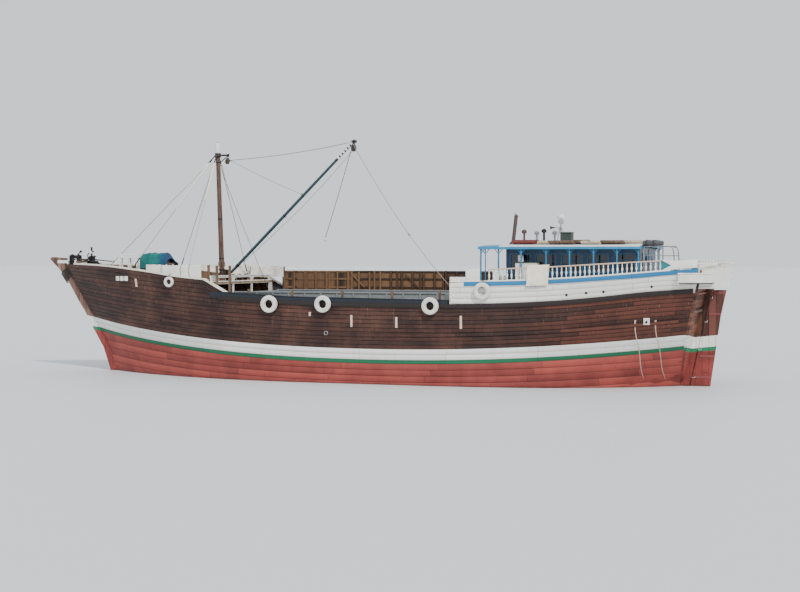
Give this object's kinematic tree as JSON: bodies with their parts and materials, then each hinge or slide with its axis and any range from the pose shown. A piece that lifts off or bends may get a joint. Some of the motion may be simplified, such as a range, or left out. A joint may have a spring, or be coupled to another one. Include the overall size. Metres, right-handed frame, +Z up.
{
  "type": "timber motor cargo dhow with derrick mast",
  "caption": "Planked timber cargo dhow afloat, with open hold, covered poop, mast with luffing and slewing derrick boom, raked rudder and propeller.",
  "frame": {"origin": "amidships on the centreline, on the load waterline", "axes": "+X forward, +Y to port, +Z up"},
  "size_m": [38.67, 9.6455, 15.5642],
  "materials": {
    "planking": "weathered, oiled",
    "tan_timber": "weathered",
    "bottom_paint": "dull paint on timber",
    "stripe_paint": "matt paint on timber",
    "white_paint": "matt paint on timber",
    "rail_paint": "worn paint on timber",
    "deck_timber": "bleached, worn",
    "hold_timber": "rough sawn",
    "cabin_paint": "gloss paint on timber",
    "canopy_paint": "matt paint on timber",
    "mast_timber": "oiled",
    "boom_paint": "worn gloss",
    "steel": "worn",
    "bronze": "dull",
    "wire": "wrapped"
  },
  "bodies": {
    "hull": {"keel": "bottom_paint", "stem": "tan_timber", "sternpost": "planking", "hull_bottom": "bottom_paint", "hull_painted_strakes": "stripe_paint", "hull_topsides": "planking", "transom": "planking", "main_deck": "deck_timber", "hatch_coaming": "rail_paint", "foredeck": "deck_timber", "poop_deck": "deck_timber", "forecastle_bulkhead": "white_paint", "poop_bulkhead": "white_paint", "forecastle_side_port": "planking", "forecastle_side_starboard": "planking", "waist_bulwark_port": "rail_paint", "waist_bulwark_starboard": "rail_paint", "poop_side_port": "white_paint", "poop_side_starboard": "white_paint", "cap_rail_port": "white_paint", "cap_rail_starboard": "white_paint", "poop_rail_port": "white_paint", "poop_rail_starboard": "white_paint", "latrine_port": "white_paint", "latrine_starboard": "white_paint", "stern_gallery": "white_paint", "hold_boards": "hold_timber", "cabin_wall_port": "cabin_paint", "cabin_wall_starboard": "cabin_paint", "cabin_front": "cabin_paint", "cabin_back": "cabin_paint", "canopy_roof": "canopy_paint", "canopy_posts_port": "cabin_paint", "canopy_posts_starboard": "cabin_paint", "exhaust_stack": "steel", "radar_mast": "white_paint", "helm_pedestal": "hold_timber", "mast": "mast_timber", "gooseneck": "steel", "forestay": "wire", "fore_stay_port": "wire", "fore_stay_starboard": "wire", "shroud_port": "wire", "shroud_starboard": "wire", "engine": "steel", "windlass_frame": "hold_timber", "bitts_aft": "hold_timber", "bitts_fore": "hold_timber", "anchor_winch": "steel", "foredeck_stores": "hold_timber", "raft_rack": "steel", "folded_raft": "hold_timber"},
    "rudder": {"rudder": "planking"},
    "propeller": {"propeller": "bronze", "propeller_shaft": "steel"},
    "derrick_heel": {"derrick_heel": "steel"},
    "derrick_boom": {"derrick_boom": "boom_paint"},
    "cabin_door": {"cabin_door": "cabin_paint"},
    "steering_wheel": {"steering_wheel": "hold_timber"},
    "windlass_drum": {"windlass_drum": "mast_timber"}
  },
  "joints": [
    {"name": "rudder_turn", "type": "hinge", "parent": "hull", "child": "rudder", "pos_m": [-15.5, 0, 0], "axis": [-0.2102, 0, 0.9777], "range_deg": [-35, 35]},
    {"name": "propeller_spin", "type": "hinge", "parent": "hull", "child": "propeller", "pos_m": [-14.65, 0, -1.4], "axis": [1, 0, 0], "continuous": true},
    {"name": "derrick_slew", "type": "hinge", "parent": "hull", "child": "derrick_heel", "pos_m": [10.1, 0, 5.62], "axis": [0, 0, 1], "range_deg": [-85, 85]},
    {"name": "derrick_luff", "type": "hinge", "parent": "derrick_heel", "child": "derrick_boom", "pos_m": [9.96, 0, 5.62], "axis": [0, 1, 0], "range_deg": [-28, 30]},
    {"name": "cabin_door_swing", "type": "hinge", "parent": "hull", "child": "cabin_door", "pos_m": [-13.324, -1.066, 5.15], "axis": [0, 0, 1], "range_deg": [0, 105]},
    {"name": "wheel_turn", "type": "hinge", "parent": "hull", "child": "steering_wheel", "pos_m": [-7.26, 0, 5.95], "axis": [1, 0, 0], "range_deg": [-700, 700]},
    {"name": "windlass_turn", "type": "hinge", "parent": "hull", "child": "windlass_drum", "pos_m": [17, 0, 5.7324], "axis": [0, 1, 0], "continuous": true}
  ]
}
